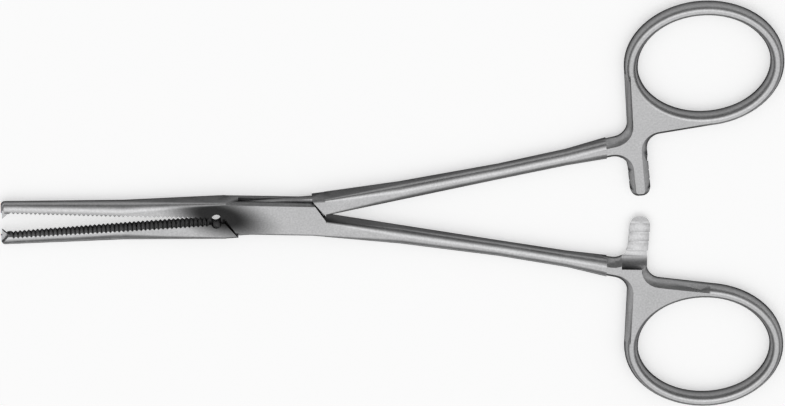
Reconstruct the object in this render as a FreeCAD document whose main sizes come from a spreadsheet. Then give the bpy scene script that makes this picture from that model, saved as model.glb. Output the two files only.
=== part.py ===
"""Straight toothed artery forceps with a box lock, finger rings and a ratchet.

Two forged halves cross at the box lock. The box half is slotted, and the tongue half
passes through the slot and turns on a flush lock pin. Both halves are drawn closed,
with the jaw faces on the plane y = 0 and the pin axis on Z, and are then turned apart
about the pin to the slightly open pose in which the forceps lie. The box lies flat on
z = 0, the jaws point to -X and the finger rings to +X. Millimetres.
"""
import FreeCAD, Part
import math
import os
import Sketcher
from FreeCAD import Placement, Rotation, Vector

DOC = FreeCAD.newDocument("forceps")

SIZES = (
    ("thick", 4.6, "box lock, rings and webs, front face to back face"),
    ("rest_opening", 5.4, "angle between the halves as they lie"),
    ("box_half_length", 10.3, "pin axis to the far end of a lock shoulder"),
    ("box_inner_length", 7.7, "pin axis to the near end of a lock shoulder"),
    ("box_half_height", 3.55, "pin axis to the edge of the box"),
    ("box_bevel", 0.45, "bevel along the edges of the box"),
    ("slot_width", 1.8, "gap between the two cheeks of the box"),
    ("tongue_clearance", 0.05, "tongue to cheek, each side"),
    ("shoulder_clearance", 0.08, "between the shoulders when closed"),
    ("pin_diameter", 2.6, "lock pin"),
    ("pin_clearance", 0.05, "pin to tongue bore, on the radius"),
    ("face_clearance", 0.05, "jaw face to the closing plane"),
    ("jaw_length", 56.2, "pin axis to the tip of the jaw"),
    ("jaw_tip_width", 2.9, "jaw face across, at the tip"),
    ("jaw_tip_height", 2.05, "jaw face to back, at the tip"),
    ("jaw_tip_roundness", 1.3, "round of the jaw's back, at the tip"),
    ("jaw_fade_share", 0.33, "second section of the jaw, share of the way from box to middle"),
    ("jaw_fade_roundness", 0.93, "round of the jaw's back, second section"),
    ("jaw_middle_length", 31.0, "pin axis to the middle section of the jaw"),
    ("jaw_middle_width", 4.2, "jaw face across, at the middle section"),
    ("jaw_middle_height", 2.75, "jaw face to back, at the middle section"),
    ("jaw_middle_roundness", 1.95, "round of the jaw's back, middle section"),
    ("nose_round", 0.8, "round of the nose of the jaw"),
    ("serration_pitch", 0.9, "groove to groove along a jaw face"),
    ("serration_depth", 0.38, "depth of a groove"),
    ("serration_land", 0.06, "flat left on a ridge"),
    ("serration_end", 13.6, "pin axis to the last groove"),
    ("relief_radius", 1.0, "relief hole where the jaw faces begin"),
    ("relief_length", 12.1, "pin axis to the relief hole"),
    ("tooth_height", 1.15, "tip tooth over the jaw face"),
    ("tooth_length", 1.45, "tip tooth along the jaw"),
    ("tooth_apex", 0.3, "nose to the point of a tip tooth"),
    ("tooth_root", 0.75, "how deep a tip tooth's outline starts in its own jaw"),
    ("nose_slant", 0.16, "slope of the nose below the point of a tip tooth"),
    ("tooth_width", 0.9, "middle tooth across"),
    ("tooth_clearance", 0.1, "between the tip teeth when closed"),
    ("shank_root_centre", 1.93, "closing plane to shank centre, at the box"),
    ("shank_root_width", 3.6, "shank across, at the box"),
    ("shank_fade_share", 0.34, "where the rounding begins, share of the way to the upper section"),
    ("shank_fade_round", 0.8, "round of the shank's edges there"),
    ("shank_upper_share", 0.266, "upper section, share of the way from box to web"),
    ("shank_upper_centre", 3.72, "closing plane to shank centre, upper section"),
    ("shank_upper_width", 3.35, "shank across, upper section"),
    ("shank_upper_depth", 4.1, "shank front to back, upper section"),
    ("shank_middle_share", 0.617, "middle section, share of the way from box to web"),
    ("shank_middle_centre", 6.5, "closing plane to shank centre, middle section"),
    ("shank_middle_width", 2.95, "shank across, middle section"),
    ("shank_middle_depth", 3.5, "shank front to back, middle section"),
    ("shank_lower_share", 0.858, "lower section, share of the way from box to web"),
    ("shank_lower_centre", 8.67, "closing plane to shank centre, lower section"),
    ("shank_lower_width", 3.05, "shank across, lower section"),
    ("shank_lower_depth", 3.7, "shank front to back, lower section"),
    ("shank_round", 1.4, "round of the shank's edges along its length"),
    ("shank_end_round", 1.6, "round of the shank's edges where it meets the web"),
    ("web_reach", 20.9, "end of the shank to the ring centre, along X"),
    ("web_start_centre", 10.1, "closing plane to shank centre, at the web"),
    ("web_start_width", 3.9, "shank across, at the web"),
    ("web_shoulder_round", 3.2, "round between shank and ring, outside"),
    ("web_throat_round", 2.7, "round between shank and ratchet arm"),
    ("web_heel_round", 3.0, "round between ratchet arm and ring"),
    ("web_slope", 0.105, "rise of the web's edge from the ring back to the arm"),
    ("web_shoulder_slope", 0.175, "rise of the web's outer edge towards the ring"),
    ("web_throat_slope", 0.12, "rise of the web's inner edge towards the arm"),
    ("web_overlap", 0.02, "how far the web's outline stays inside the ring's"),
    ("rim_bevel", 1.2, "bevel across the rim of the web and the ring"),
    ("rim_bevel_depth", 1.75, "depth of the same bevel"),
    ("rim_shoulder", 0.6, "the ring's round: bevel across the rim at its shoulder"),
    ("rim_shoulder_depth", 0.4, "the ring's round: depth of its shoulder"),
    ("arm_reach", 16.85, "near edge of the ratchet arm to the ring centre, along X"),
    ("arm_width", 4.2, "ratchet arm across, at its root"),
    ("arm_lean", 0.45, "how far the arm's tip leans outward"),
    ("arm_tip", 1.0, "reach of the arm's tip over the closing plane"),
    ("arm_tip_round", 1.8, "round of the arm's tip"),
    ("ratchet_first", 2.35, "closing plane to the first ratchet tooth"),
    ("ratchet_pitch", 2.1, "ratchet tooth to tooth"),
    ("ratchet_depth", 0.75, "height of a ratchet tooth"),
    ("ratchet_clearance", 0.06, "tooth tip to the middle plane"),
    ("ratchet_scoop", 2.9, "round of the scoop behind the last tooth"),
    ("ratchet_run_out", 3.335, "last ratchet tooth to the end of the scoop"),
    ("cutter_over", 1.0, "how far a cut reaches past the metal"),
    ("ring_length", 89.35, "pin axis to the ring centre"),
    ("ring_height", 27.6, "closing plane to the ring centre"),
    ("hole_half_length", 13.6, "finger hole, half length"),
    ("hole_half_height", 10.95, "finger hole, half height"),
    ("ring_width", 2.8, "ring, hole to outside"),
)


def fill_sheet():
    """Write every driving size in a cell of its own, with its alias."""
    sheet = DOC.addObject("Spreadsheet::Sheet", "Sizes")
    for row, (alias, value, meaning) in enumerate(SIZES, start=1):
        sheet.set("A%d" % row, alias)
        sheet.set("B%d" % row, str(value))
        sheet.set("C%d" % row, meaning)
        sheet.setAlias("B%d" % row, alias)
    DOC.recompute()


class Size:
    """A size worked out from the sheet: its value and the words that bind it."""

    def __init__(self, value, words):
        self.value = float(value)
        self.words = words

    @staticmethod
    def of(other):
        """Take a bare number or a size as a size."""
        if isinstance(other, Size):
            return other
        return Size(other, "%.6g" % other)

    def __add__(self, other):
        other = Size.of(other)
        return Size(self.value + other.value, "(%s + %s)" % (self.words, other.words))

    def __sub__(self, other):
        other = Size.of(other)
        return Size(self.value - other.value, "(%s - %s)" % (self.words, other.words))

    def __mul__(self, other):
        other = Size.of(other)
        return Size(self.value * other.value, "(%s * %s)" % (self.words, other.words))

    def __truediv__(self, other):
        other = Size.of(other)
        return Size(self.value / other.value, "(%s / %s)" % (self.words, other.words))

    def __neg__(self):
        return self * -1

    def at_most(self, other):
        """The size itself, or the other one where that is smaller."""
        return Size(min(self.value, other.value), "min(%s; %s)" % (self.words, other.words))

    def root(self):
        """Square root of the size."""
        return Size(math.sqrt(self.value), "sqrt(%s)" % self.words)


def named_sizes():
    """Give each alias of the sheet as a Size."""
    return {alias: Size(value, "Sizes." + alias) for alias, value, _ in SIZES}


fill_sheet()
S = named_sizes()
NONE = Size(0, "0")
MIDDLE = S["thick"] / 2
WEB_START = S["ring_length"] - S["web_reach"]
ARM_LEFT = S["ring_length"] - S["arm_reach"]
ARM_RIGHT = ARM_LEFT + S["arm_width"]
RATCHET_TEETH = 3
THROAT_SHARE = 0.7
SLOT_BELOW = -0.5
SLOT_ABOVE = 1.3
NEAR = 0.01


def origin_plane(body, role):
    """Find one of the body's own origin planes or axes by its role."""
    for feature in body.Origin.OriginFeatures:
        if feature.Role == role:
            return feature
    raise ValueError(role)


def new_sketch(body, name, role, lift):
    """Attach an empty sketch to an origin plane, lifted along its normal."""
    sketch = body.newObject("Sketcher::SketchObject", name)
    sketch.AttachmentSupport = [(origin_plane(body, role), "")]
    sketch.MapMode = "FlatFace"
    sketch.AttachmentOffset = Placement(Vector(0, 0, lift.value), Rotation())
    sketch.setExpression("AttachmentOffset.Base.z", lift.words)
    return sketch


def bind(sketch, kind, element, value):
    """Add a dimension and bind it to the sheet."""
    index = sketch.addConstraint(Sketcher.Constraint(kind, *element, value.value))
    sketch.setExpression("Constraints[%d]" % index, value.words)


def bind_point(sketch, element, x, y):
    """Hold a point at its place from the sketch's origin."""
    bind(sketch, "DistanceX", (-1, 1) + element, x)
    bind(sketch, "DistanceY", (-1, 1) + element, y)


def corner_arc(before, corner, after, radius):
    """Give centre, start and end of the arc that rounds a corner."""
    to_before = (before - corner).normalize()
    to_after = (after - corner).normalize()
    half = to_before.getAngle(to_after) / 2
    run = radius / math.tan(half)
    middle = (to_before + to_after).normalize()
    centre = corner + middle * (radius / math.sin(half))
    return centre, corner + to_before * run, corner + to_after * run


def outline(body, name, role, lift, corners):
    """Draw a closed outline. A corner is (x, y), or (x, y, radius) where it is round."""
    sketch = new_sketch(body, name, role, lift)
    places = [Vector(corner[0].value, corner[1].value, 0) for corner in corners]
    count = len(corners)
    arcs = {}
    for i, corner in enumerate(corners):
        if len(corner) == 3:
            arcs[i] = corner_arc(places[i - 1], places[i], places[(i + 1) % count], corner[2].value)
    lines = []
    for i in range(count):
        follow = (i + 1) % count
        start = arcs[i][2] if i in arcs else places[i]
        end = arcs[follow][1] if follow in arcs else places[follow]
        lines.append(sketch.addGeometry(Part.LineSegment(start, end), False))
    for i, corner in enumerate(corners):
        if i not in arcs:
            sketch.addConstraint(Sketcher.Constraint("Coincident", lines[i - 1], 2, lines[i], 1))
            bind_point(sketch, (lines[i], 1), corner[0], corner[1])
            continue
        round_corner(sketch, lines[i - 1], lines[i], arcs[i], places[i], corner)
    return sketch


def round_corner(sketch, line_in, line_out, arc, place, corner):
    """Join two lines with a tangent arc that keeps their corner where it is."""
    centre, start, end = arc
    turn = (start - centre).cross(end - centre).z
    first, last = (start, end) if turn > 0 else (end, start)
    angles = [math.atan2(p.y - centre.y, p.x - centre.x) for p in (first, last)]
    circle = Part.Circle(centre, Vector(0, 0, 1), corner[2].value)
    piece = sketch.addGeometry(Part.ArcOfCircle(circle, angles[0], angles[1]), False)
    head, tail = (1, 2) if turn > 0 else (2, 1)
    sketch.addConstraint(Sketcher.Constraint("Tangent", line_in, 2, piece, head))
    sketch.addConstraint(Sketcher.Constraint("Tangent", piece, tail, line_out, 1))
    bind(sketch, "Radius", (piece,), corner[2])
    mark = sketch.addGeometry(Part.Point(place), True)
    bind_point(sketch, (mark, 1), corner[0], corner[1])
    sketch.addConstraint(Sketcher.Constraint("PointOnObject", mark, 1, line_in))
    sketch.addConstraint(Sketcher.Constraint("PointOnObject", mark, 1, line_out))


def disc(body, name, lift, x, y, radius):
    """Draw a circle on the plan."""
    sketch = new_sketch(body, name, "XY_Plane", lift)
    circle = Part.Circle(Vector(x.value, y.value, 0), Vector(0, 0, 1), radius.value)
    ring = sketch.addGeometry(circle, False)
    bind_point(sketch, (ring, 3), x, y)
    bind(sketch, "Radius", (ring,), radius)
    return sketch


def oval(body, name, lift, x, y, half_length, half_height):
    """Draw an ellipse on the plan, longer along X."""
    sketch = new_sketch(body, name, "XY_Plane", lift)
    centre = Vector(x.value, y.value, 0)
    end = centre + Vector(half_length.value, 0, 0)
    top = centre + Vector(0, half_height.value, 0)
    ellipse = sketch.addGeometry(Part.Ellipse(end, top, centre), False)
    long_axis = sketch.addGeometry(Part.LineSegment(centre * 2 - end, end), True)
    short_axis = sketch.addGeometry(Part.LineSegment(centre * 2 - top, top), True)
    major, minor = "InternalAlignment:EllipseMajorDiameter", "InternalAlignment:EllipseMinorDiameter"
    sketch.addConstraint(Sketcher.Constraint(major, long_axis, ellipse))
    sketch.addConstraint(Sketcher.Constraint(minor, short_axis, ellipse))
    bind_point(sketch, (ellipse, 3), x, y)
    bind_point(sketch, (long_axis, 2), x + half_length, y)
    bind(sketch, "DistanceY", (short_axis, 1, short_axis, 2), half_height * 2)
    return sketch


def feature(body, kind, name, sketch, **settings):
    """Add a sketch-based feature, with sizes bound and other settings set."""
    item = body.newObject("PartDesign::" + kind, name)
    item.Profile = sketch
    for key, value in settings.items():
        if isinstance(value, Size):
            setattr(item, key, value.value)
            item.setExpression(key, value.words)
        else:
            setattr(item, key, value)
    DOC.recompute()
    body.Tip = item
    return item


def loft(body, kind, name, sections, ruled):
    """Add or cut a loft through the sections."""
    item = body.newObject("PartDesign::" + kind, name)
    item.Profile = sections[0]
    item.Sections = sections[1:]
    item.Ruled = ruled
    DOC.recompute()
    body.Tip = item
    return item


def edges_where(shape, wanted):
    """List the names of the edges whose two ends and middle all pass the test."""
    names = []
    for number, edge in enumerate(shape.Edges, start=1):
        middle = edge.valueAt((edge.FirstParameter + edge.LastParameter) / 2)
        points = [vertex.Point for vertex in edge.Vertexes] + [middle]
        if all(wanted(point) for point in points):
            names.append("Edge%d" % number)
    return names


def edges_touching(shape, wanted):
    """List the names of the edges of which one end passes the test."""
    names = []
    for number, edge in enumerate(shape.Edges, start=1):
        if any(wanted(vertex.Point) for vertex in edge.Vertexes):
            names.append("Edge%d" % number)
    return names


def bevel(body, name, base, wanted, size):
    """Bevel the edges of the last feature that pass the test."""
    item = body.newObject("PartDesign::Chamfer", name)
    item.Base = (base, edges_where(base.Shape, wanted))
    item.Size = size.value
    item.setExpression("Size", size.words)
    DOC.recompute()
    body.Tip = item
    return item


def on_faces(point):
    """Tell whether a point lies on the front or the back face."""
    return point.z < NEAR or point.z > S["thick"].value - NEAR


def at_box_edge(point):
    """Tell whether a point lies on a long edge of the box's front or back face."""
    if abs(point.x) > S["box_half_length"].value * 2:
        return False
    return on_faces(point) and abs(point.y) > S["box_half_height"].value - NEAR


def ring_centre(side):
    """Give the ring's centre on the plan."""
    return S["ring_length"], S["ring_height"] * side


def web_corners(side):
    """Outline of the web that joins shank, ratchet arm and ring."""
    outer_a = S["hole_half_length"] + S["ring_width"]
    outer_b = S["hole_half_height"] + S["ring_width"]
    slope = S["web_slope"]
    ring_x, ring_y = ring_centre(1)
    reach = (outer_a * outer_a * slope * slope + outer_b * outer_b).root()
    inset = S["web_overlap"]
    touch_x = ring_x + outer_a * outer_a * slope / reach
    touch_y = ring_y - outer_b * outer_b / reach + inset
    heel_y = touch_y - (touch_x - ARM_RIGHT) * slope
    left = ring_x - outer_a + inset
    low = S["web_start_centre"] - S["web_start_width"] / 2
    high = S["web_start_centre"] + S["web_start_width"] / 2
    tip = -S["arm_tip"]
    throat = S["web_throat_round"].at_most((ARM_LEFT - WEB_START) * THROAT_SHARE)
    corners = [
        (WEB_START, low),
        (ARM_LEFT, low + (ARM_LEFT - WEB_START) * S["web_throat_slope"], throat),
        (ARM_LEFT + S["arm_lean"], tip, S["arm_tip_round"]),
        (ARM_RIGHT + S["arm_lean"], tip, S["arm_tip_round"]),
        (ARM_RIGHT, heel_y, S["web_heel_round"]),
        (touch_x, touch_y),
        (ring_x, ring_y),
        (left, ring_y),
        (left, high + (left - WEB_START) * S["web_shoulder_slope"], S["web_shoulder_round"]),
        (WEB_START, high),
    ]
    return [(corner[0], corner[1] * side) + corner[2:] for corner in corners]


def add_web(body, side):
    """The flat web, bevelled along its rim."""
    sketch = outline(body, "web_outline", "XY_Plane", NONE, web_corners(side))
    web = feature(body, "Pad", "web", sketch, Length=S["thick"])
    ring_x, ring_y = ring_centre(side)

    def at_start(point):
        return abs(point.x - WEB_START.value) < NEAR

    def at_centre(point):
        return abs(point.x - ring_x.value) < NEAR and abs(point.y - ring_y.value) < NEAR

    def on_web(point):
        return on_faces(point) and point.x > WEB_START.value - NEAR

    rim = edges_where(web.Shape, on_web)
    skipped = edges_where(web.Shape, at_start) + edges_touching(web.Shape, at_centre)
    item = body.newObject("PartDesign::Chamfer", "web_rim")
    item.Base = (web, [name for name in rim if name not in skipped])
    item.ChamferType = "Two distances"
    item.Size = S["rim_bevel_depth"].value
    item.Size2 = S["rim_bevel"].value
    item.setExpression("Size", S["rim_bevel_depth"].words)
    item.setExpression("Size2", S["rim_bevel"].words)
    DOC.recompute()
    body.Tip = item


def rim_levels():
    """Levels of the sections of the ring, and how far each is bevelled in."""
    back = (
        (NONE, S["rim_bevel"]),
        (S["rim_shoulder_depth"], S["rim_shoulder"]),
        (S["rim_bevel_depth"], NONE),
    )
    front = tuple((S["thick"] - lift, cut) for lift, cut in reversed(back))
    return back + front


def add_ring(body, side):
    """The finger ring: rounded outside, then the hole, rounded inside."""
    x, y = ring_centre(side)
    outer_a = S["hole_half_length"] + S["ring_width"]
    outer_b = S["hole_half_height"] + S["ring_width"]
    outside = []
    inside = []
    for number, (lift, cut) in enumerate(rim_levels()):
        outside.append(oval(body, "ring_outside_%d" % number, lift, x, y, outer_a - cut, outer_b - cut))
    loft(body, "AdditiveLoft", "ring", outside, True)
    for number, (lift, cut) in enumerate(rim_levels()):
        a = S["hole_half_length"] + cut
        b = S["hole_half_height"] + cut
        inside.append(oval(body, "ring_inside_%d" % number, lift, x, y, a, b))
    loft(body, "SubtractiveLoft", "finger_hole", inside, True)


def ratchet_corners(side, front):
    """Side view of what is milled off the arm: three teeth and the scoop."""
    level = MIDDLE - S["ratchet_clearance"]
    floor = level - S["ratchet_depth"]
    above = S["thick"] + S["cutter_over"]
    start = -S["arm_tip"] - S["cutter_over"]
    peaks = [S["ratchet_first"] + S["ratchet_pitch"] * number for number in range(RATCHET_TEETH)]
    corners = [(start, above), (start, floor), (peaks[0] - S["ratchet_pitch"], floor)]
    for peak in peaks:
        corners += [(peak, level), (peak, floor)]
    end = peaks[-1] + S["ratchet_run_out"]
    corners += [(end, floor, S["ratchet_scoop"]), (end, above)]
    if not front:
        corners = [(c[0], S["thick"] - c[1]) + c[2:] for c in corners]
    return [(c[0] * side, c[1]) + c[2:] for c in corners]


def cut_ratchet(body, side, front):
    """Mill the ratchet teeth in the arm's inner face."""
    centre = ARM_LEFT + (S["arm_width"] + S["arm_lean"]) / 2
    sketch = outline(body, "ratchet_profile", "YZ_Plane", centre, ratchet_corners(side, front))
    width = S["arm_width"] + S["arm_lean"] + S["cutter_over"] * 2
    feature(body, "Pocket", "ratchet", sketch, Length=width, Midplane=True)


def shank_section(body, side, number, x, centre, width, depth, roundness):
    """Rounded section of the shank, across the Y and Z directions."""
    half, deep = width / 2, depth / 2
    corners = []
    for a, b in ((-half, -deep), (half, -deep), (half, deep), (-half, deep)):
        corners.append(((centre + a) * side, MIDDLE + b, roundness))
    return outline(body, "shank_section_%d" % number, "YZ_Plane", x, corners)


def add_shank(body, side, start):
    """The slender shank: square at the box, then more and more round to the web."""
    run = WEB_START - start
    root = (start, S["shank_root_centre"], S["shank_root_width"], S["thick"])
    upper = (start + run * S["shank_upper_share"], S["shank_upper_centre"], S["shank_upper_width"],
             S["shank_upper_depth"])
    middle = (start + run * S["shank_middle_share"], S["shank_middle_centre"], S["shank_middle_width"],
              S["shank_middle_depth"])
    lower = (start + run * S["shank_lower_share"], S["shank_lower_centre"], S["shank_lower_width"],
             S["shank_lower_depth"])
    end = (WEB_START, S["web_start_centre"], S["web_start_width"], S["thick"])
    fade = tuple(a + (b - a) * S["shank_fade_share"] for a, b in zip(root, upper))
    stations = (
        root + (S["box_bevel"],), fade + (S["shank_fade_round"],), upper + (S["shank_round"],),
        middle + (S["shank_round"],), lower + (S["shank_round"],), end + (S["shank_end_round"],),
    )
    sections = [shank_section(body, side, n, *station) for n, station in enumerate(stations)]
    loft(body, "AdditiveLoft", "shank", sections, True)


def jaw_section(body, side, number, x, width, height, roundness):
    """Half-round section of a jaw: flat face, low sides and a round back."""
    half = width / 2
    gap = S["face_clearance"]
    corners = [
        (gap, MIDDLE - half),
        (height, MIDDLE - half, roundness),
        (height, MIDDLE + half, roundness),
        (gap, MIDDLE + half),
    ]
    corners = [(c[0] * side, c[1]) + c[2:] for c in corners]
    return outline(body, "jaw_section_%d" % number, "YZ_Plane", -x, corners)


def add_jaw(body, side, start):
    """The tapered half-round jaw from the box to the nose."""
    root = (start, S["thick"], S["box_half_height"])
    middle = (S["jaw_middle_length"], S["jaw_middle_width"], S["jaw_middle_height"])
    fade = tuple(a + (b - a) * S["jaw_fade_share"] for a, b in zip(root, middle))
    stations = (
        root + (S["box_bevel"],), fade + (S["jaw_fade_roundness"],),
        middle + (S["jaw_middle_roundness"],),
        (S["jaw_length"], S["jaw_tip_width"], S["jaw_tip_height"], S["jaw_tip_roundness"]),
    )
    sections = [jaw_section(body, side, n, *station) for n, station in enumerate(stations)]
    jaw = loft(body, "AdditiveLoft", "jaw", sections, True)
    limit = -S["jaw_length"].value + NEAR
    face = S["face_clearance"].value + NEAR

    def off_face(point):
        return point.x < limit and abs(point.y) > face

    nose = body.newObject("PartDesign::Fillet", "nose")
    nose.Base = (jaw, edges_where(jaw.Shape, off_face))
    nose.Radius = S["nose_round"].value
    nose.setExpression("Radius", S["nose_round"].words)
    DOC.recompute()
    body.Tip = nose


def tooth_corners(side):
    """Side view of a tip tooth: upright at the nose, sloped towards the serrations."""
    nose = -S["jaw_length"]
    root = -S["tooth_root"]
    corners = [
        (nose + S["nose_slant"], root),
        (nose + S["tooth_apex"], S["tooth_height"]),
        (nose + S["tooth_length"], -S["face_clearance"]),
        (nose + S["tooth_length"], root),
    ]
    return [(c[0], c[1] * side) for c in corners]


def notch_corners(side):
    """Side view of the notch that takes the other jaw's tooth with a clearance."""
    nose = -S["jaw_length"]
    clear = S["tooth_clearance"]
    depth = S["tooth_height"] + clear
    heel = nose + S["tooth_length"] + clear
    corners = [
        (nose - clear, -S["tooth_root"]),
        (nose - clear, depth),
        (nose + S["tooth_apex"] + clear, depth),
        (heel, -S["face_clearance"] - clear),
        (heel, -S["tooth_root"]),
    ]
    return [(c[0], c[1] * side) for c in corners]


def cut_serrations(body, side, shift):
    """Cross grooves along the jaw face, one groove repeated."""
    face = S["face_clearance"] * side
    first = -S["serration_end"] - shift
    half = (S["serration_pitch"] - S["serration_land"]) / 2
    depth = S["serration_depth"] * side
    corners = [
        (first - half * 2, face - depth),
        (first, face + depth),
        (first + half * 2, face - depth),
    ]
    sketch = outline(body, "serration_profile", "XY_Plane", NONE, corners)
    groove = feature(body, "Pocket", "serration", sketch, Length=S["thick"], Reversed=True)
    teeth_end = S["jaw_length"] - S["tooth_length"] - S["tooth_clearance"]
    run = teeth_end - S["serration_end"] - shift - half
    pattern = body.newObject("PartDesign::LinearPattern", "serrations")
    pattern.Originals = [groove]
    pattern.Direction = (origin_plane(body, "X_Axis"), [""])
    pattern.Reversed = True
    spaces = "floor(%s / %s)" % (run.words, S["serration_pitch"].words)
    count = int(run.value // S["serration_pitch"].value)
    pattern.Length = count * S["serration_pitch"].value
    pattern.Occurrences = count + 1
    pattern.setExpression("Length", "%s * %s" % (spaces, S["serration_pitch"].words))
    pattern.setExpression("Occurrences", spaces + " + 1")
    DOC.recompute()
    body.Tip = pattern


def cut_relief(body):
    """The small round relief where the jaw faces begin."""
    sketch = disc(body, "relief_circle", NONE, -S["relief_length"], NONE, S["relief_radius"])
    feature(body, "Pocket", "relief", sketch, Length=S["thick"], Reversed=True)


def add_box(body):
    """The slotted box: two cheeks between the jaw and the shank of one half."""
    far, near = S["box_half_length"], S["box_inner_length"]
    height, gap = S["box_half_height"], S["face_clearance"]
    root = S["shank_root_centre"] + S["shank_root_width"] / 2
    corners = [
        (-far, gap), (-near, -height), (near, -height), (far, -root),
        (far, -gap), (near, height), (-far, height),
    ]
    sketch = outline(body, "box_outline", "XY_Plane", NONE, corners)
    block = feature(body, "Pad", "box", sketch, Length=S["thick"])
    bevel(body, "box_edges", block, at_box_edge, S["box_bevel"])
    slot_low = MIDDLE - S["slot_width"] / 2
    sketch = outline(body, "slot_outline", "XY_Plane", slot_low, slot_corners())
    feature(body, "Pocket", "slot", sketch, Length=S["slot_width"], Reversed=True)
    pin = disc(body, "pin_circle", NONE, NONE, NONE, S["pin_diameter"] / 2)
    feature(body, "Pocket", "pin_bore", pin, Length=S["thick"], Reversed=True)


def along_wall(turn, share):
    """A point on the slot's slanted end wall: share 0 on the centre line, 1 at the edge."""
    far, near = S["box_half_length"], S["box_inner_length"]
    x = -far + (far - near) * share
    y = S["box_half_height"] * share
    return (x * turn, y * turn)


def slot_corners():
    """Outline of the slot, open at both edges of the box and at both shoulders."""
    left_low, left_high = along_wall(1, SLOT_BELOW), along_wall(1, SLOT_ABOVE)
    right_high, right_low = along_wall(-1, SLOT_BELOW), along_wall(-1, SLOT_ABOVE)
    return [
        (left_low[0], right_low[1]), left_low, left_high,
        (right_high[0], left_high[1]), right_high, right_low,
    ]


def add_tongue(body):
    """The thinned tongue that passes through the box, with its two shoulders."""
    clear, gap = S["shoulder_clearance"], S["face_clearance"]
    far, near = S["box_half_length"], S["box_inner_length"]
    height = S["box_half_height"]
    root = S["shank_root_centre"] + S["shank_root_width"] / 2
    tongue_low = MIDDLE - S["slot_width"] / 2 + S["tongue_clearance"]
    tongue_thick = S["slot_width"] - S["tongue_clearance"] * 2
    corners = [
        (-far - clear, -gap), (-far + clear, -gap), (-near + clear, height), (near + clear, height),
        (far + clear, root), (far + clear, gap), (far - clear, gap), (near - clear, -height),
        (-near - clear, -height), (-far - clear, -height),
    ]
    sketch = outline(body, "tongue_outline", "XY_Plane", tongue_low, corners)
    feature(body, "Pad", "tongue", sketch, Length=tongue_thick)
    jaw_root = [(-far - clear, -gap), (-far - clear, -height), (-near - clear, -height)]
    shank_root = [(far + clear, gap), (far + clear, root), (near + clear, height)]
    for name, corners in (("jaw_root", jaw_root), ("shank_root", shank_root)):
        sketch = outline(body, name + "_outline", "XY_Plane", NONE, corners)
        block = feature(body, "Pad", name, sketch, Length=S["thick"])
        bevel(body, name + "_edges", block, at_box_edge, S["box_bevel"])
    bore = disc(body, "bore_circle", NONE, NONE, NONE, S["pin_diameter"] / 2 + S["pin_clearance"])
    feature(body, "Pocket", "pin_bore", bore, Length=S["thick"], Reversed=True)


def add_middle_tooth(body):
    """One tooth in the middle of the tip, with a notch on each side of it."""
    low = MIDDLE - S["tooth_width"] / 2
    sketch = outline(body, "tooth_outline", "XY_Plane", low, tooth_corners(1))
    feature(body, "Pad", "tooth", sketch, Length=S["tooth_width"])
    notch = notch_corners(-1)
    reach = MIDDLE - S["tooth_width"] / 2
    for name, lift in (("back_notch", NONE), ("front_notch", MIDDLE + S["tooth_width"] / 2)):
        sketch = outline(body, name + "_outline", "XY_Plane", lift, notch)
        feature(body, "Pocket", name, sketch, Length=reach, Reversed=True)


def add_side_teeth(body):
    """Two teeth at the sides of the tip, with a notch between them."""
    inner = S["tooth_width"] / 2 + S["tooth_clearance"]
    outer = S["jaw_tip_width"] / 2
    for name, lift in (("back_tooth", MIDDLE - outer), ("front_tooth", MIDDLE + inner)):
        sketch = outline(body, name + "_outline", "XY_Plane", lift, tooth_corners(-1))
        feature(body, "Pad", name, sketch, Length=outer - inner)
    notch = notch_corners(1)
    sketch = outline(body, "notch_outline", "XY_Plane", MIDDLE - inner, notch)
    feature(body, "Pocket", "notch", sketch, Length=inner * 2, Reversed=True)


def turn_open(body, side):
    """Turn a half about the pin from the closed pose to the pose in which it lies."""
    half = S["rest_opening"] / 2
    body.Placement = Placement(Vector(), Rotation(Vector(0, 0, side), half.value))
    body.setExpression("Placement.Rotation.Angle", half.words + " * 1 deg")


def new_body(name):
    """Start one piece. Its two ends may be apart until the shank joins them."""
    body = DOC.addObject("PartDesign::Body", name)
    body.Label = name
    body.AllowCompound = True
    return body


def make_box_half():
    """Upper jaw, slotted box and lower ring: one forging."""
    body = new_body("box_half")
    add_box(body)
    add_jaw(body, 1, S["box_half_length"])
    cut_serrations(body, 1, NONE)
    cut_relief(body)
    add_side_teeth(body)
    add_web(body, -1)
    add_ring(body, -1)
    cut_ratchet(body, -1, True)
    add_shank(body, -1, S["box_half_length"])
    turn_open(body, -1)
    return body


def make_tongue_half():
    """Lower jaw, tongue and upper ring: one forging."""
    body = new_body("tongue_half")
    add_tongue(body)
    add_jaw(body, -1, S["box_half_length"] + S["shoulder_clearance"])
    cut_serrations(body, -1, S["serration_pitch"] / 2)
    cut_relief(body)
    add_middle_tooth(body)
    add_web(body, 1)
    add_ring(body, 1)
    cut_ratchet(body, 1, False)
    add_shank(body, 1, S["box_half_length"] + S["shoulder_clearance"])
    turn_open(body, 1)
    return body


def make_lock_pin():
    """The lock pin, ground flush with both cheeks."""
    body = new_body("lock_pin")
    sketch = disc(body, "pin_circle", NONE, NONE, NONE, S["pin_diameter"] / 2)
    feature(body, "Pad", "pin", sketch, Length=S["thick"])
    return body


def check(bodies):
    """Stop if any object failed or any piece isn't one valid solid."""
    for item in DOC.Objects:
        if "Invalid" in item.State or "Error" in item.State:
            raise RuntimeError("%s: %s" % (item.Name, item.State))
    for body in bodies:
        shape = body.Shape
        if shape.isNull() or not shape.isValid() or len(shape.Solids) != 1:
            raise RuntimeError("%s isn't one valid solid" % body.Label)


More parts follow.
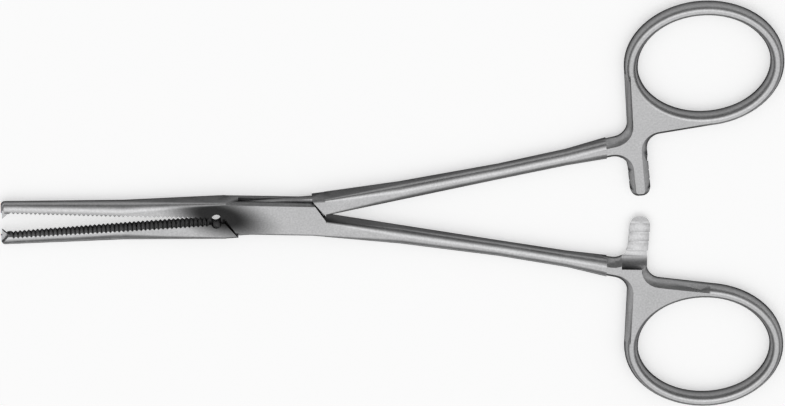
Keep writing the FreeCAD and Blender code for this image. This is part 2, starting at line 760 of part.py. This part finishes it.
def main():
    """Build the three pieces and write one file for each."""
    bodies = [make_box_half(), make_tongue_half(), make_lock_pin()]
    DOC.recompute()
    check(bodies)
    os.makedirs("parts", exist_ok=True)
    for body in bodies:
        body.Shape.exportStep("parts/%s.step" % body.Label)
        box = body.Shape.BoundBox
        print("%s: %.1f mm3, x %.2f..%.2f y %.2f..%.2f z %.2f..%.2f" % (
            body.Label, body.Shape.Volume, box.XMin, box.XMax, box.YMin, box.YMax, box.ZMin, box.ZMax))


main()
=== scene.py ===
"""Studio picture of toothed artery forceps in satin steel, lying on a pale table."""
import math

import bmesh
import bpy
from mathutils import Matrix, Vector


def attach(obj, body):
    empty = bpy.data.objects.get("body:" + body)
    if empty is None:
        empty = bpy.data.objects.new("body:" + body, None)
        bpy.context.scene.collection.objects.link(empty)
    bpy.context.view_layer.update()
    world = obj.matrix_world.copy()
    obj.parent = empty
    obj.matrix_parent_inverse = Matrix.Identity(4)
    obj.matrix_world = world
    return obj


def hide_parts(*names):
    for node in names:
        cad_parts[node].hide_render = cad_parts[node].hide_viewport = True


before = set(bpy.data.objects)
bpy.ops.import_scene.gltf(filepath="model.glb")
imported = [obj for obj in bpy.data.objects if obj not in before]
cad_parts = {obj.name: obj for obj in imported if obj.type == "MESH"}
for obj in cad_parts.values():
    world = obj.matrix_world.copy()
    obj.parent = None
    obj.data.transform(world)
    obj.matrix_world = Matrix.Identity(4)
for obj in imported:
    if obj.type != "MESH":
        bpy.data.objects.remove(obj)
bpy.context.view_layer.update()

MM = 0.001
NEAR = 0.005 * MM

# Finishing of the forgings: how near corners are merged, how far sharp edges are broken,
# and how far two faces may turn before the edge shows, in general and on the bevelled
# rims, which begin at RIM_START
WELD = 0.001 * MM
HALF_BREAK = 0.06 * MM
PIN_BREAK = 0.03 * MM
BREAK_STEPS = 2
FACE_ANGLE = math.radians(38)
RIM_ANGLE = math.radians(60)
RIM_START = 66 * MM

# How alike two directions count as one, by their cosine: a level face's and upright,
# and those of faces that meet at a corner, whose normals are told apart to so many digits
LEVEL = 0.9999
SAME = 0.9995
NORMAL_DIGITS = 4

# The finger rings: centre when closed, half sizes, and the rim at each level from the
# middle of the thickness: how high, how far bevelled in and how far tilted. A corner is
# on the ring when it lies off the oval by no more than ON_RING, as a share of it
HALF_OPENING = math.radians(2.7)
RING_PLACE = (89.35 * MM, 27.6 * MM)
RING_OUTSIDE = (16.4 * MM, 13.75 * MM)
RING_INSIDE = (13.6 * MM, 10.95 * MM)
RIM_LEVELS = (
    (2.3 * MM, 1.2 * MM, 0),
    (1.9 * MM, 0.6 * MM, math.radians(48)),
    (0.55 * MM, 0, math.radians(79)),
)
ON_RING = 0.004

# The ratchet arms: where they lie, how far the tooth peaks are from the middle of the
# thickness, and how blunt these are
ARM_LEFT = 70 * MM
ARM_RIGHT = 80 * MM
ARM_ROOT = 9 * MM
MIDDLE = 2.3 * MM
PEAK_GAP = 0.06 * MM
PEAK_ROUND = 0.26 * MM
PEAK_STEPS = 4

# Satin steel: its tone by how level a face is, with painted shade that makes the upright sides darker
# than the flats, and the speckle and mottle of the blasting
STEEL_TONES_AND_SIDE_SHADE = ((0.15, (0.2, 0.2, 0.202)), (0.85, (0.52, 0.52, 0.525)))
EDGE_TINT = (0.05, 0.05, 0.05, 1)
FLAT_FACES = (0.8, 0.98)
NOISE_REACH = (0.3, 0.7)
GRAIN_SCALE = 2600
GRAIN_DETAIL = 3
GRAIN_HEIGHT = 0.02 * MM
GRAIN_STRENGTH = 0.08
CLOUD_SCALE = 140
CLOUD_DETAIL = 4
SPECKLE = (0.86, 1.08)
MOTTLE = (0.9, 1.06)
ROUGHNESS = (0.27, 0.37)

# The painted dark reflection beside the lock, shade painted into the flats there: centre, how far it
# reaches, its turn and its tones
PAINTED_REFLECTION_PLACE = (-11.5 * MM, 1.2 * MM, 2.3 * MM)
PAINTED_REFLECTION_REACH = (15 * MM, 6 * MM, 100 * MM)
PAINTED_REFLECTION_TURN = math.radians(-18)
PAINTED_REFLECTION_TONES = ((0.0, (1, 1, 1)), (0.75, (0.06, 0.06, 0.06)))

# The table: its size, how far it lies under the forceps, its tone and its own glow
TABLE_SIZE = 6
TABLE_GAP = 0.02 * MM
TABLE_TONE = (0.8, 0.8, 0.8, 1)
TABLE_ROUGHNESS = 0.9
TABLE_LIFT = 0.42

# The light dome: its brightest place, and how bright it is by how near it is to that
DOME_CENTRE = Vector((0.0, 0.05, 1.0)).normalized()
DOME_TONES = tuple(
    (place, (tone, tone, tone))
    for place, tone in ((0.0, 0.1), (0.3, 0.12), (0.6, 0.22), (0.8, 0.45), (0.93, 0.85), (1.0, 1.0))
)
DOME_STRENGTH = 1.6

# The photograph, in its own pixels, and how it was taken
PHOTO_WIDTH = 785
MM_PER_PIXEL = 0.2046
PIVOT_PIXEL = (275.5, 220.3)
CENTRE_PIXEL = (392.5, 203.0)
CAMERA_TILT = math.radians(25)
CAMERA_SIDE = math.radians(-2.2)
CAMERA_ROLL = math.radians(1.5)
CAMERA_AWAY = 3.0
CAMERA_SENSOR = 36
CAMERA_FAR = 20
FRONT_FACE = 4.6 * MM


def deselect_all():
    """Leave nothing selected and nothing active."""
    for thing in bpy.context.selected_objects:
        thing.select_set(False)
    bpy.context.view_layer.objects.active = None


def make_material(name):
    """Start a node material with one plain shader."""
    material = bpy.data.materials.new(name)
    material.use_nodes = True
    return material, material.node_tree, material.node_tree.nodes["Principled BSDF"]


def calculate(tree, operation, *values):
    """Reckon with sockets or plain numbers in one math node."""
    node = tree.nodes.new("ShaderNodeMath")
    node.operation = operation
    for value, socket in zip(values, node.inputs):
        if isinstance(value, bpy.types.NodeSocket):
            tree.links.new(value, socket)
        else:
            socket.default_value = value
    return node.outputs[0]


def spread(tree, value, old, new):
    """Spread the values from one range over another, and stop at its ends."""
    node = tree.nodes.new("ShaderNodeMapRange")
    for name, limit in zip(("From Min", "From Max", "To Min", "To Max"), (*old, *new)):
        node.inputs[name].default_value = limit
    tree.links.new(value, node.inputs["Value"])
    return node.outputs["Result"]


def tone_ramp(tree, value, tones, run="LINEAR"):
    """Run through tones as a value rises past each one's place."""
    node = tree.nodes.new("ShaderNodeValToRGB")
    node.color_ramp.interpolation = run
    stops = node.color_ramp.elements
    while len(stops) < len(tones):
        stops.new(0.5)
    for stop, (place, tone) in zip(stops, tones):
        stop.position = place
        stop.color = (*tone, 1)
    tree.links.new(value, node.inputs["Fac"])
    return node.outputs["Color"]


def darken(tree, tone, shade, share=1):
    """Multiply a tone by a shade, all over or where the share says so."""
    node = tree.nodes.new("ShaderNodeMix")
    node.data_type = "RGBA"
    node.blend_type = "MULTIPLY"
    if isinstance(share, bpy.types.NodeSocket):
        tree.links.new(share, node.inputs["Factor"])
    else:
        node.inputs["Factor"].default_value = share
    tree.links.new(tone, node.inputs["A"])
    tree.links.new(shade, node.inputs["B"])
    return node.outputs["Result"]


def fine_noise(tree, where, scale, detail):
    """An even cloud of values all through the metal."""
    node = tree.nodes.new("ShaderNodeTexNoise")
    node.inputs["Scale"].default_value = scale
    node.inputs["Detail"].default_value = detail
    tree.links.new(where.outputs["Object"], node.inputs["Vector"])
    return node.outputs["Fac"]


def how_level(tree, where):
    """How level a face lies: 1 on the flats, 0 on upright sides."""
    parts = tree.nodes.new("ShaderNodeSeparateXYZ")
    tree.links.new(where.outputs["Normal"], parts.inputs["Vector"])
    return calculate(tree, "ABSOLUTE", parts.outputs["Z"])


def painted_lock_reflection(tree, where):
    """Painted dark reflection that fades out from its centre beside the lock."""
    near_lock = tree.nodes.new("ShaderNodeMapping")
    near_lock.vector_type = "TEXTURE"
    near_lock.inputs["Location"].default_value = PAINTED_REFLECTION_PLACE
    near_lock.inputs["Rotation"].default_value = (0, 0, PAINTED_REFLECTION_TURN)
    near_lock.inputs["Scale"].default_value = PAINTED_REFLECTION_REACH
    fade = tree.nodes.new("ShaderNodeTexGradient")
    fade.gradient_type = "SPHERICAL"
    tree.links.new(where.outputs["Object"], near_lock.inputs["Vector"])
    tree.links.new(near_lock.outputs["Vector"], fade.inputs["Vector"])
    return tone_ramp(tree, fade.outputs["Fac"], PAINTED_REFLECTION_TONES, "EASE")


def satin_steel():
    """Stainless steel, blasted and brushed to an even satin, with painted shade on its upright sides
    and a painted dark reflection beside the lock.
    """
    material, tree, shader = make_material("satin_steel")
    where = tree.nodes.new("ShaderNodeTexCoord")
    grain = fine_noise(tree, where, GRAIN_SCALE, GRAIN_DETAIL)
    cloud = fine_noise(tree, where, CLOUD_SCALE, CLOUD_DETAIL)
    speckle = spread(tree, grain, NOISE_REACH, SPECKLE)
    mottle = spread(tree, cloud, NOISE_REACH, MOTTLE)
    level = how_level(tree, where)
    on_flats = spread(tree, level, FLAT_FACES, (0, 1))
    # Painted shade: the steel's tone, darker on upright and steep faces by how level they lie
    tone = tone_ramp(tree, level, STEEL_TONES_AND_SIDE_SHADE)
    # Painted dark reflection beside the lock, on the flats only
    tone = darken(tree, tone, painted_lock_reflection(tree, where), on_flats)
    tone = darken(tree, tone, calculate(tree, "MULTIPLY", speckle, mottle))
    bump = tree.nodes.new("ShaderNodeBump")
    bump.inputs["Strength"].default_value = GRAIN_STRENGTH
    bump.inputs["Distance"].default_value = GRAIN_HEIGHT
    tree.links.new(grain, bump.inputs["Height"])
    shader.inputs["Metallic"].default_value = 1.0
    shader.inputs["Specular Tint"].default_value = EDGE_TINT
    tree.links.new(tone, shader.inputs["Base Color"])
    tree.links.new(spread(tree, cloud, NOISE_REACH, ROUGHNESS), shader.inputs["Roughness"])
    tree.links.new(bump.outputs["Normal"], shader.inputs["Normal"])
    return material


def round_ratchet(piece):
    """Round the peaks of the ratchet teeth, which the cutter leaves a little blunt."""
    bpy.ops.object.mode_set(mode="EDIT")
    bpy.ops.mesh.select_all(action="DESELECT")
    shape = bmesh.from_edit_mesh(piece.data)
    for edge in shape.edges:
        places = [corner.co for corner in edge.verts]
        on_arm = all(ARM_LEFT < place.x < ARM_RIGHT and abs(place.y) < ARM_ROOT for place in places)
        at_peak = all(abs(abs(place.z - MIDDLE) - PEAK_GAP) < NEAR for place in places)
        sharp = len(edge.link_faces) == 2 and edge.calc_face_angle() > RIM_ANGLE
        edge.select_set(on_arm and at_peak and sharp)
    bmesh.update_edit_mesh(piece.data)
    bpy.ops.mesh.bevel(offset=PEAK_ROUND, segments=PEAK_STEPS, affect="EDGES")
    bpy.ops.object.mode_set(mode="OBJECT")


def break_edges(piece, width):
    """Take the sharpness off every edge, as tumbling does."""
    broken = piece.modifiers.new("broken_edges", "BEVEL")
    broken.width = width
    broken.segments = BREAK_STEPS
    broken.limit_method = "ANGLE"
    broken.angle_limit = FACE_ANGLE
    bpy.ops.object.modifier_apply(modifier=broken.name)


def soften_rims(piece):
    """Let the bevelled rims of webs and rings run smoothly into their flats and sides."""
    shape = bmesh.new()
    shape.from_mesh(piece.data)
    for edge in shape.edges:
        if len(edge.link_faces) != 2 or min(corner.co.x for corner in edge.verts) < RIM_START:
            continue
        if edge.calc_face_angle() < RIM_ANGLE:
            edge.smooth = True
    shape.to_mesh(piece.data)
    shape.free()


def ring_normal(place, side):
    """Give the even, rounded normal of a corner that lies on the finger ring, or nothing."""
    turn = Matrix.Rotation(-side * HALF_OPENING, 3, "Z")
    local = turn @ place - Vector((RING_PLACE[0], side * RING_PLACE[1], 0))
    for height, cut, tilt in RIM_LEVELS:
        if abs(abs(place.z - MIDDLE) - height) > NEAR:
            continue
        for half, way in ((RING_OUTSIDE, 1), (RING_INSIDE, -1)):
            a, b = half[0] - way * cut, half[1] - way * cut
            if abs(math.hypot(local.x / a, local.y / b) - 1) > ON_RING:
                continue
            flat = Vector((local.x / a ** 2, local.y / b ** 2, 0)).normalized() * way
            up = Vector((0, 0, math.copysign(math.cos(tilt), place.z - MIDDLE)))
            return turn.transposed() @ (flat * math.sin(tilt) + up)
    return None


def even_normals(mesh):
    """Average the distinct face directions round each corner, however finely each is cut."""
    fans = {}
    for face in mesh.polygons:
        for loop in face.loop_indices:
            shown = mesh.corner_normals[loop].vector
            key = (mesh.loops[loop].vertex_index, tuple(round(part, NORMAL_DIGITS) for part in shown))
            fans.setdefault(key, []).append((loop, face.normal.copy()))
    normals = [None] * len(mesh.loops)
    for fan in fans.values():
        distinct = []
        for _, way in fan:
            if all(way.dot(other) < SAME for other in distinct):
                distinct.append(way)
        even = sum(distinct, Vector()).normalized()
        for loop, _ in fan:
            normals[loop] = even
    return normals


def shade_evenly(piece, side):
    """Shade curved faces evenly, level faces dead flat and the rings round."""
    mesh = piece.data
    normals = even_normals(mesh)
    level = {}
    for face in mesh.polygons:
        if abs(face.normal.z) > LEVEL:
            for corner in face.vertices:
                level.setdefault(corner, face.normal.copy())
    for face in mesh.polygons:
        for loop in face.loop_indices:
            corner = mesh.loops[loop].vertex_index
            place = mesh.vertices[corner].co
            ring = ring_normal(place, side) if side and place.x > RIM_START else None
            if abs(face.normal.z) > LEVEL:
                normals[loop] = face.normal.copy()
            elif ring and ring.dot(face.normal) > math.cos(RIM_ANGLE):
                normals[loop] = ring
            elif corner in level and face.normal.dot(level[corner]) > math.cos(RIM_ANGLE):
                if normals[loop].dot(face.normal) < LEVEL:
                    normals[loop] = level[corner]
    mesh.normals_split_custom_set(normals)


def whole_copy(node):
    """Copy a solid to the scene as one closed skin, with its corners merged."""
    deselect_all()
    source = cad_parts[node]
    piece = source.copy()
    piece.data = source.data.copy()
    piece.parent = None
    piece.matrix_world = Matrix.Identity(4)
    piece.name = node + "_finished"
    bpy.context.collection.objects.link(piece)
    piece.select_set(True)
    bpy.context.view_layer.objects.active = piece
    bpy.ops.object.mode_set(mode="EDIT")
    bpy.ops.mesh.select_all(action="SELECT")
    bpy.ops.mesh.remove_doubles(threshold=WELD)
    bpy.ops.object.mode_set(mode="OBJECT")
    return piece


def finish_forging(node, body, side, edge, material):
    """Give a forged piece broken edges, even shading and its finish, on the body it is part of."""
    piece = whole_copy(node)
    round_ratchet(piece)
    piece.data.materials.clear()
    piece.data.materials.append(material)
    break_edges(piece, edge)
    bpy.ops.object.shade_smooth_by_angle(angle=FACE_ANGLE)
    soften_rims(piece)
    shade_evenly(piece, side)
    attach(piece, body)
    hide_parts(node)


def pale_table():
    """Matt and pale, and a little lighter still wherever it is seen or mirrored."""
    material, tree, shader = make_material("pale_table")
    shader.inputs["Base Color"].default_value = TABLE_TONE
    shader.inputs["Roughness"].default_value = TABLE_ROUGHNESS
    shader.inputs["Specular IOR Level"].default_value = 0
    path = tree.nodes.new("ShaderNodeLightPath")
    seen = calculate(tree, "MAXIMUM", path.outputs["Is Camera Ray"], path.outputs["Is Glossy Ray"])
    seen = calculate(tree, "MAXIMUM", seen, path.outputs["Is Transmission Ray"])
    glow = tree.nodes.new("ShaderNodeEmission")
    both = tree.nodes.new("ShaderNodeAddShader")
    tree.links.new(calculate(tree, "MULTIPLY", seen, TABLE_LIFT), glow.inputs["Strength"])
    tree.links.new(shader.outputs["BSDF"], both.inputs[0])
    tree.links.new(glow.outputs["Emission"], both.inputs[1])
    tree.links.new(both.outputs["Shader"], tree.nodes["Material Output"].inputs["Surface"])
    return material


def table_top():
    """The plain pale table that the forceps lie on."""
    deselect_all()
    bpy.ops.mesh.primitive_plane_add(size=TABLE_SIZE, location=(0, 0, -TABLE_GAP))
    table = bpy.context.object
    table.name = "table_top"
    table.data.materials.append(pale_table())


def studio():
    """A broad pale dome over the table, brightest overhead and dark towards its foot."""
    world = bpy.data.worlds.new("studio")
    bpy.context.scene.world = world
    world.use_nodes = True
    tree = world.node_tree
    surface = tree.nodes["Background"]
    where = tree.nodes.new("ShaderNodeTexCoord")
    toward = tree.nodes.new("ShaderNodeVectorMath")
    toward.operation = "DOT_PRODUCT"
    toward.inputs[1].default_value = DOME_CENTRE
    surface.inputs["Strength"].default_value = DOME_STRENGTH
    tree.links.new(where.outputs["Generated"], toward.inputs[0])
    tree.links.new(tone_ramp(tree, toward.outputs["Value"], DOME_TONES), surface.inputs["Color"])


def camera():
    """Look down at the tilt, turn and framing of the photograph."""
    width = PHOTO_WIDTH * MM_PER_PIXEL * MM
    toward = Vector((math.sin(CAMERA_SIDE), math.sin(CAMERA_TILT), math.cos(CAMERA_TILT)))
    toward.normalize()
    right = Vector((1, 0, 0)) - toward * toward.x
    right.normalize()
    up = toward.cross(right)
    turned_right = right * math.cos(CAMERA_ROLL) - up * math.sin(CAMERA_ROLL)
    turned_up = up * math.cos(CAMERA_ROLL) + right * math.sin(CAMERA_ROLL)
    shift_x = (CENTRE_PIXEL[0] - PIVOT_PIXEL[0]) * MM_PER_PIXEL * MM
    shift_y = (PIVOT_PIXEL[1] - CENTRE_PIXEL[1]) * MM_PER_PIXEL * MM
    aim = Vector((0, 0, FRONT_FACE)) + turned_right * shift_x + turned_up * shift_y
    data = bpy.data.cameras.new("camera")
    data.sensor_width = CAMERA_SENSOR
    data.lens = CAMERA_SENSOR * CAMERA_AWAY / width
    data.clip_end = CAMERA_FAR
    item = bpy.data.objects.new("camera", data)
    bpy.context.collection.objects.link(item)
    place = aim + toward * CAMERA_AWAY
    turn = Matrix((turned_right, turned_up, toward)).transposed().to_4x4()
    item.matrix_world = Matrix.Translation(place) @ turn
    bpy.context.scene.camera = item


bpy.context.scene.view_settings.view_transform = "Standard"
steel = satin_steel()
finish_forging("box_half", "box_half", -1, HALF_BREAK, steel)
finish_forging("tongue_half", "tongue_half", 1, HALF_BREAK, steel)
finish_forging("lock_pin", "box_half", 0, PIN_BREAK, steel)
table_top()
studio()
camera()
